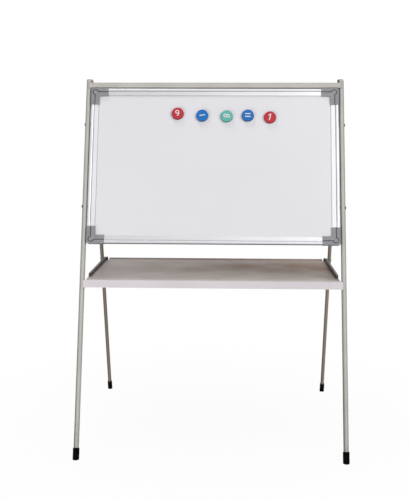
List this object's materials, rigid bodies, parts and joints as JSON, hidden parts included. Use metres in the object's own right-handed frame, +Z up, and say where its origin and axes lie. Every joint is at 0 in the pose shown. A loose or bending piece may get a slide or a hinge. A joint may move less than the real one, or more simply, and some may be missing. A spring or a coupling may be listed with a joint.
{
  "type": "drawing board",
  "caption": "Free-standing children's easel: a magnetic whiteboard between leaning tube posts, with folding rear legs, a sliding sheet-metal tray and loose round magnets.",
  "frame": {"origin": "on the floor, in the middle of the object's box", "axes": "+Z up, the user stands on the -Y side, +X to the user's right"},
  "size_m": [0.842, 0.7218, 1.1578],
  "materials": {
    "frame_paint": "satin beige-grey powder coat",
    "rear_paint": "satin grey-brown powder coat",
    "bar_paint": "dark satin paint with lighter edges",
    "tray_paint": "satin light grey paint, faintly lilac",
    "plug_grey": "moulded grey plastic",
    "plug_black": "moulded black plastic",
    "foot_rubber": "matt black rubber",
    "rail_aluminium": "satin anodised",
    "cap_plastic": "fine-textured grey plastic",
    "writing_lacquer": "glossy white lacquer",
    "core_board": "raw fibreboard",
    "back_steel": "galvanised sheet",
    "fastener_dark": "blackened steel",
    "fastener_zinc": "bright zinc",
    "magnet_red": "gloss moulded plastic",
    "magnet_blue": "gloss moulded plastic",
    "magnet_green": "gloss moulded plastic",
    "ferrite": "sintered ferrite"
  },
  "bodies": {
    "front_frame": {"front_leg_left": "frame_paint", "front_leg_right": "frame_paint", "top_crossbar": "frame_paint", "hinge_lug_left": "frame_paint", "hinge_lug_right": "frame_paint", "side_bar_left": "bar_paint", "side_bar_right": "bar_paint", "tray_ledge_left": "tray_paint", "tray_ledge_right": "tray_paint", "front_leg_plugs": "plug_grey", "front_foot_left": "foot_rubber", "front_foot_right": "foot_rubber", "frame_rail_top": "rail_aluminium", "frame_rail_bottom": "rail_aluminium", "frame_rail_left": "rail_aluminium", "frame_rail_right": "rail_aluminium", "corner_cap_top_left": "cap_plastic", "corner_cap_top_right": "cap_plastic", "corner_cap_bottom_left": "cap_plastic", "corner_cap_bottom_right": "cap_plastic", "writing_sheet": "writing_lacquer", "board_core": "core_board", "back_sheet": "back_steel", "board_bolts": "fastener_dark", "stop_bolts": "fastener_dark", "stop_wing_nuts": "fastener_dark", "corner_cap_screws": "fastener_zinc", "board_bolt_spacers": "fastener_zinc", "board_bolt_nuts": "fastener_zinc", "stop_sleeves": "fastener_zinc"},
    "rear_frame": {"rear_leg_left": "rear_paint", "rear_leg_right": "rear_paint", "rear_crossbar": "rear_paint", "rear_leg_plug_left": "plug_grey", "rear_leg_plug_right": "plug_black", "rear_foot_left": "foot_rubber", "rear_foot_right": "foot_rubber", "hinge_bolts": "fastener_zinc", "hinge_nuts": "fastener_zinc"},
    "tray": {"tray_deck": "tray_paint", "tray_corner_tab_left": "tray_paint", "tray_corner_tab_right": "tray_paint", "tray_front_lip": "tray_paint", "tray_rear_rim": "tray_paint"},
    "magnet_red_left": {"magnet_cap_red_left": "magnet_red", "magnet_core_red_left": "ferrite"},
    "magnet_blue_left": {"magnet_cap_blue_left": "magnet_blue", "magnet_core_blue_left": "ferrite"},
    "magnet_green": {"magnet_cap_green": "magnet_green", "magnet_core_green": "ferrite"},
    "magnet_blue_right": {"magnet_cap_blue_right": "magnet_blue", "magnet_core_blue_right": "ferrite"},
    "magnet_red_right": {"magnet_cap_red_right": "magnet_red", "magnet_core_red_right": "ferrite"}
  },
  "joints": [
    {"name": "rear_fold", "type": "hinge", "parent": "front_frame", "child": "rear_frame", "pos_m": [0, 0.04213, 1.12595], "axis": [-1, 0, 0], "range_deg": [0, 33.1]},
    {"name": "tray_slide", "type": "slide", "parent": "front_frame", "child": "tray", "axis": [0, -1, 0], "range_m": [0, 0.2]},
    {"name": "magnet_pull_red_left", "type": "slide", "parent": "front_frame", "child": "magnet_red_left", "axis": [0, -0.9527, 0.304], "range_m": [0, 0.03]},
    {"name": "magnet_pull_blue_left", "type": "slide", "parent": "front_frame", "child": "magnet_blue_left", "axis": [0, -0.9527, 0.304], "range_m": [0, 0.03]},
    {"name": "magnet_pull_green", "type": "slide", "parent": "front_frame", "child": "magnet_green", "axis": [0, -0.9527, 0.304], "range_m": [0, 0.03]},
    {"name": "magnet_pull_blue_right", "type": "slide", "parent": "front_frame", "child": "magnet_blue_right", "axis": [0, -0.9527, 0.304], "range_m": [0, 0.03]},
    {"name": "magnet_pull_red_right", "type": "slide", "parent": "front_frame", "child": "magnet_red_right", "axis": [0, -0.9527, 0.304], "range_m": [0, 0.03]}
  ]
}
